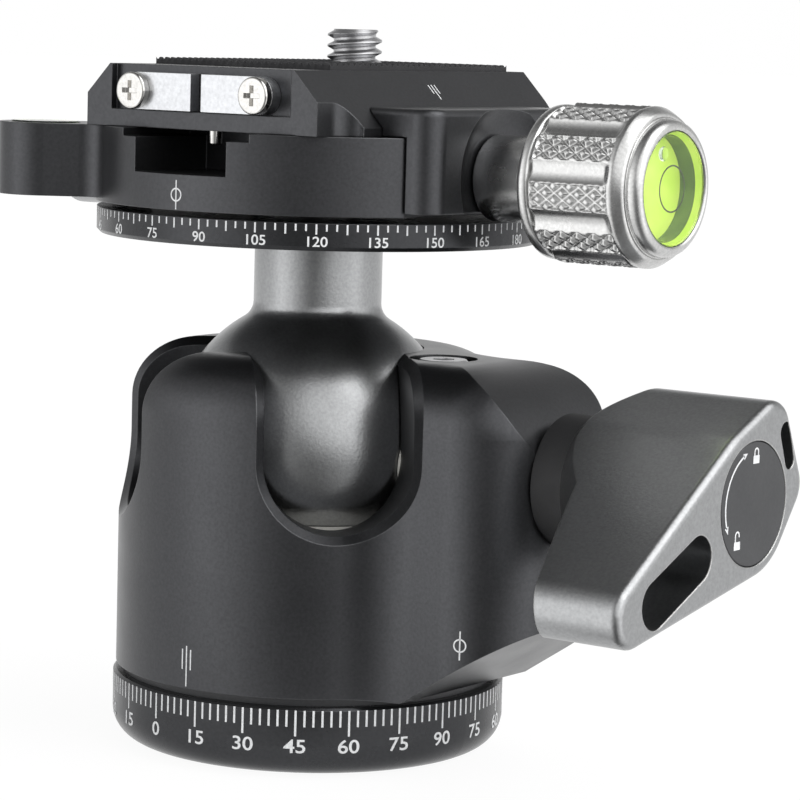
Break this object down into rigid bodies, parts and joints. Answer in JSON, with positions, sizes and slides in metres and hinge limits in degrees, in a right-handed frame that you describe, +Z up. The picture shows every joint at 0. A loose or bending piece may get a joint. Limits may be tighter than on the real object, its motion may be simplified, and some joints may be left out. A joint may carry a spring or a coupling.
{
  "type": "tripod ball head",
  "caption": "Tripod ball head with panning base, lever-locked ball in a cup with drop notches, and a panning screw clamp holding a dovetail release plate.",
  "frame": {"origin": "centre of the base's lower face, at the mouth of the tripod thread", "axes": "+Z up through the ball to the camera stud, +X along the main lock lever and the clamp knob, -Y to the plate end with the two stop bars"},
  "size_m": [0.0966, 0.0527, 0.0825],
  "materials": {
    "housing_black": "black anodised, fine bead-blasted",
    "dial_black": "black anodised, turned",
    "silver_alloy": "bead-blasted, clear anodised",
    "steel": "turned, plain",
    "chrome": "plated, polished",
    "nylon": "moulded nylon",
    "black_plastic": "moulded, matt",
    "rubber": "ribbed rubber",
    "vial": "clear acrylic over green fluid"
  },
  "bodies": {
    "base": {"pan_base": "dial_black", "tripod_insert": "steel", "slide_washer": "black_plastic", "spindle_plate": "steel", "spindle_screws": "steel"},
    "housing": {"housing": "housing_black", "housing_floor": "dial_black", "boss_screw": "steel"},
    "seat": {"ball_seat": "nylon"},
    "ball": {"ball_stem": "silver_alloy", "dial_ring": "dial_black", "dial_spindle": "steel", "spindle_clip": "steel", "stem_bolt": "steel"},
    "brake": {"ball_brake": "nylon"},
    "lock_lever": {"lock_knob": "silver_alloy", "lock_knob_cap": "black_plastic", "lock_screw": "steel", "lock_sleeve": "black_plastic"},
    "pan_brake": {"pan_shoe": "nylon"},
    "pan_lock": {"pan_knob": "silver_alloy", "pan_screw": "steel"},
    "clamp": {"clamp_disc": "housing_black", "lug_level_vial": "vial"},
    "top_pan_brake": {"top_pan_shoe": "nylon"},
    "top_pan_lock": {"top_pan_knob": "silver_alloy", "top_pan_screw": "steel"},
    "jaw": {"moving_jaw": "housing_black", "jaw_pins": "steel"},
    "clamp_lock": {"clamp_knob": "silver_alloy", "clamp_screw": "steel", "knob_level_vial": "vial"},
    "plate": {"release_plate": "housing_black", "plate_pad": "rubber", "rear_pin": "chrome", "stop_screws": "chrome"},
    "camera_screw": {"camera_screw": "chrome"},
    "safety_pin": {"safety_pin": "chrome"},
    "stop_left": {"stop_bar_left": "silver_alloy"},
    "stop_right": {"stop_bar_right": "silver_alloy"}
  },
  "joints": [
    {"name": "base_pan", "type": "hinge", "parent": "base", "child": "housing", "pos_m": [0, 0, 0.0118], "axis": [0, 0, 1], "continuous": true},
    {"name": "lock_turn", "type": "hinge", "parent": "brake", "child": "lock_lever", "pos_m": [0.04, 0, 0.034], "axis": [1, 0, 0], "range_deg": [0, 150]},
    {"name": "brake_slide", "type": "slide", "parent": "housing", "child": "brake", "axis": [1, 0, 0], "range_m": [0, 0.00052]},
    {"name": "pan_lock_turn", "type": "hinge", "parent": "pan_brake", "child": "pan_lock", "pos_m": [-0.02, 0.02, 0.012], "axis": [-0.7071, 0.7071, 0], "range_deg": [0, 360]},
    {"name": "pan_brake_slide", "type": "slide", "parent": "housing", "child": "pan_brake", "axis": [-0.7071, 0.7071, 0], "range_m": [0, 0.0008]},
    {"name": "ball_swivel", "type": "hinge", "parent": "housing", "child": "seat", "pos_m": [0, 0, 0.035], "axis": [0, 0, 1], "range_deg": [0, 360]},
    {"name": "ball_tilt", "type": "hinge", "parent": "seat", "child": "ball", "pos_m": [0, 0, 0.035], "axis": [0.7071, -0.7071, 0], "range_deg": [-20, 90]},
    {"name": "top_pan", "type": "hinge", "parent": "ball", "child": "clamp", "pos_m": [0, 0, 0.065], "axis": [0, 0, 1], "continuous": true},
    {"name": "top_pan_lock_turn", "type": "hinge", "parent": "top_pan_brake", "child": "top_pan_lock", "pos_m": [-0.02, 0, 0.0654], "axis": [-1, 0, 0], "range_deg": [0, 360]},
    {"name": "top_pan_brake_slide", "type": "slide", "parent": "clamp", "child": "top_pan_brake", "axis": [-1, 0, 0], "range_m": [0, 0.0007]},
    {"name": "clamp_turn", "type": "hinge", "parent": "jaw", "child": "clamp_lock", "pos_m": [0.03, 0, 0.0666], "axis": [1, 0, 0], "range_deg": [0, 1440]},
    {"name": "jaw_slide", "type": "slide", "parent": "clamp", "child": "jaw", "axis": [1, 0, 0], "range_m": [0, 0.004]},
    {"name": "plate_slide", "type": "slide", "parent": "clamp", "child": "plate", "axis": [0, 1, 0], "range_m": [-0.0045, 0.0045]},
    {"name": "camera_screw_turn", "type": "hinge", "parent": "plate", "child": "camera_screw", "pos_m": [0, 0.0058, 0.078], "axis": [0, 0, 1], "continuous": true},
    {"name": "safety_pin_lift", "type": "slide", "parent": "plate", "child": "safety_pin", "axis": [0, 0, 1], "range_m": [0, 0.0022], "stiffness_N_per_m": 60, "springref_m": -0.001},
    {"name": "left_stop_turn", "type": "hinge", "parent": "plate", "child": "stop_left", "pos_m": [-0.0087, -0.0218, 0.0751], "axis": [0, -1, 0], "range_deg": [0, 90]},
    {"name": "right_stop_turn", "type": "hinge", "parent": "plate", "child": "stop_right", "pos_m": [0.0087, -0.0218, 0.0751], "axis": [0, 1, 0], "range_deg": [0, 90]}
  ],
  "couplings": [
    {"joint": "lock_turn", "follows": "brake_slide", "rad_per_m": 5026.5},
    {"joint": "pan_lock_turn", "follows": "pan_brake_slide", "rad_per_m": 7854},
    {"joint": "top_pan_lock_turn", "follows": "top_pan_brake_slide", "rad_per_m": 8976},
    {"joint": "clamp_turn", "follows": "jaw_slide", "rad_per_m": 6283.2}
  ]
}
